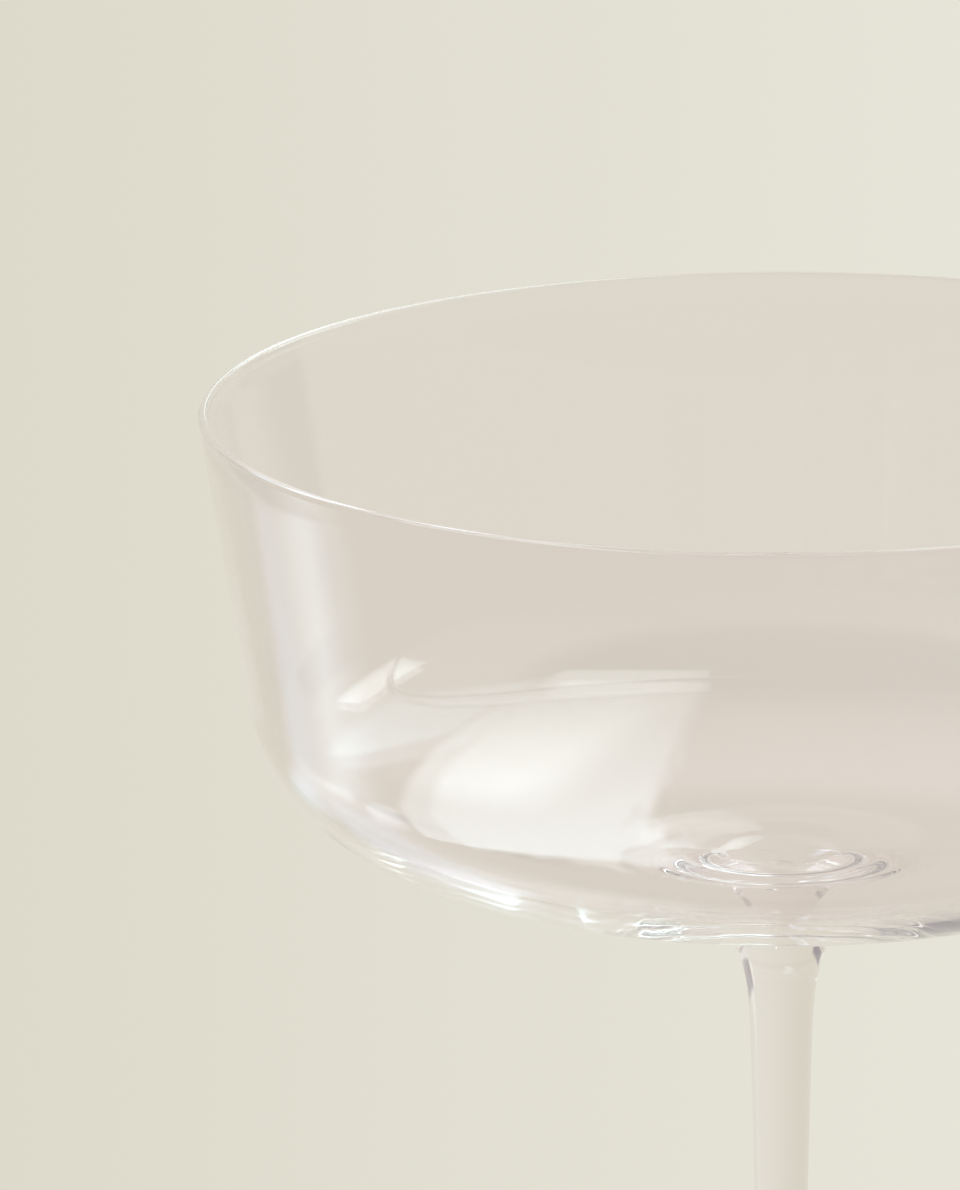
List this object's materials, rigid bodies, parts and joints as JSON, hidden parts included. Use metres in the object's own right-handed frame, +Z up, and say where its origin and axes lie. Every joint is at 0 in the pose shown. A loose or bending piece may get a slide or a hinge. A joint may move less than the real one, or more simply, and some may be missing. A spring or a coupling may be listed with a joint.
{
  "type": "sparkling wine glass",
  "caption": "Clear stemmed coupe for sparkling wine: a wide, shallow bowl with a straight leaning side on a thin flared stem and a round foot.",
  "frame": {"origin": "centre of the foot, on the plane of the flat ring that the glass stands on", "axes": "+Z up along the stem, from the foot to the rim; the glass is round about Z, so +X and +Y are free"},
  "size_m": [0.11, 0.11, 0.16],
  "materials": {
    "clear_glass": "clear colourless glass, fire-polished, smooth and glossy"
  },
  "bodies": {
    "root": {"bowl": "clear_glass", "stem": "clear_glass", "foot": "clear_glass"}
  },
  "joints": []
}
